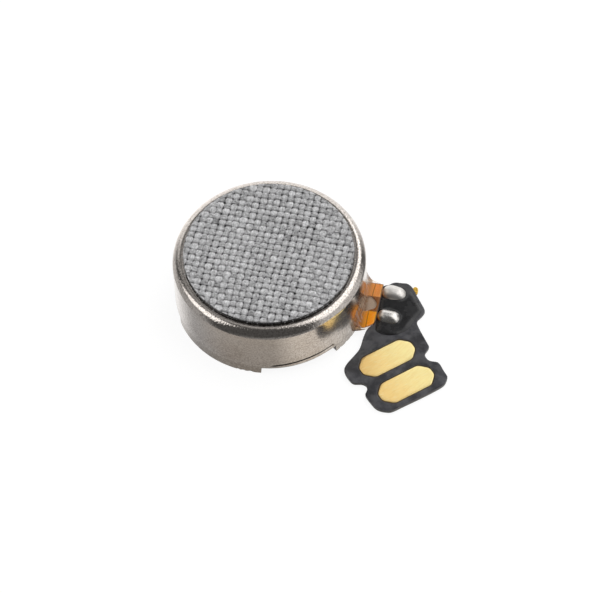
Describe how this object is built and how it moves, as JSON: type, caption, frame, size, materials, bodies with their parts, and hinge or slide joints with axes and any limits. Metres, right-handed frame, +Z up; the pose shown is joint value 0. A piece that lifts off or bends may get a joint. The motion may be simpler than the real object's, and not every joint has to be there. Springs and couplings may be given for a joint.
{
  "type": "vibration coin motor",
  "caption": "Disc-shaped eccentric-rotor vibration motor in a drawn steel case with a fabric pad on top, an amber flex at one side and a black solder-on contact tail.",
  "frame": {"origin": "middle of the base's underside, on the shaft's axis", "axes": "+Z up along the shaft to the fabric pad, +X out along the amber flex neck"},
  "size_m": [0.015, 0.0113, 0.0037],
  "materials": {
    "case_steel": "satin",
    "base_steel": "satin",
    "shaft_steel": "polished",
    "magnet": "satin",
    "amber_film": "gloss",
    "amber_cover": "gloss",
    "copper": "satin",
    "brush_metal": "satin",
    "solder": "satin",
    "washer_film": "satin",
    "bearing_bronze": "matte",
    "board": "satin",
    "commutator_copper": "polished",
    "moulding": "matte",
    "coil_wire": "satin",
    "tungsten": "satin",
    "pad_glue": "satin",
    "pad_fabric": "matte",
    "clear_glue": "gloss",
    "black_flex": "satin",
    "stiffener": "satin",
    "gold": "polished",
    "gold_edge": "satin",
    "black_glue": "gloss"
  },
  "bodies": {
    "motor": {"case_cup": "case_steel", "base_plate": "base_steel", "shaft": "shaft_steel", "ring_magnet": "magnet", "flex_film": "amber_film", "flex_copper": "copper", "flex_coverlay": "amber_cover", "brush_a_foot": "brush_metal", "brush_b_foot": "brush_metal", "brush_solder": "solder", "lower_washer": "washer_film", "upper_washer": "washer_film", "pad_adhesive": "pad_glue", "fabric_pad": "pad_fabric", "exit_adhesive": "clear_glue", "tail_root": "black_flex", "tail_bend_strip": "black_flex", "tail_solder": "solder", "solder_glue": "black_glue", "tie_bar_stub": "gold_edge"},
    "rotor": {"bearing": "bearing_bronze", "commutator_board": "board", "commutator_segments": "commutator_copper", "rotor_moulding": "moulding", "coil_a": "coil_wire", "coil_b": "coil_wire", "eccentric_weight": "tungsten", "coil_lead_solder": "solder"},
    "brush_a": {"brush_a_leaf": "brush_metal"},
    "brush_b": {"brush_b_leaf": "brush_metal"},
    "tail": {"tail_head": "black_flex", "tail_stiffener": "stiffener", "tail_contacts": "gold"}
  },
  "joints": [
    {"name": "rotor_spin", "type": "hinge", "parent": "motor", "child": "rotor", "pos_m": [0, 0, 0.002], "axis": [0, 0, 1], "continuous": true},
    {"name": "tail_bend", "type": "hinge", "parent": "motor", "child": "tail", "pos_m": [0.00618, -0.00247, 0.00019], "axis": [-0.7466, -0.6652, 0], "range_deg": [-90, 90], "stiffness_Nm_per_rad": 0.000005, "deforming": ["tail_bend_strip"]},
    {"name": "brush_a_flex", "type": "hinge", "parent": "motor", "child": "brush_a", "pos_m": [-0.00079, 0.0012, 0.00038], "axis": [0, 1, 0], "range_deg": [0, 4], "stiffness_Nm_per_rad": 0.0000002},
    {"name": "brush_b_flex", "type": "hinge", "parent": "motor", "child": "brush_b", "pos_m": [-0.00079, -0.0012, 0.00038], "axis": [0, 1, 0], "range_deg": [0, 4], "stiffness_Nm_per_rad": 0.0000002}
  ]
}
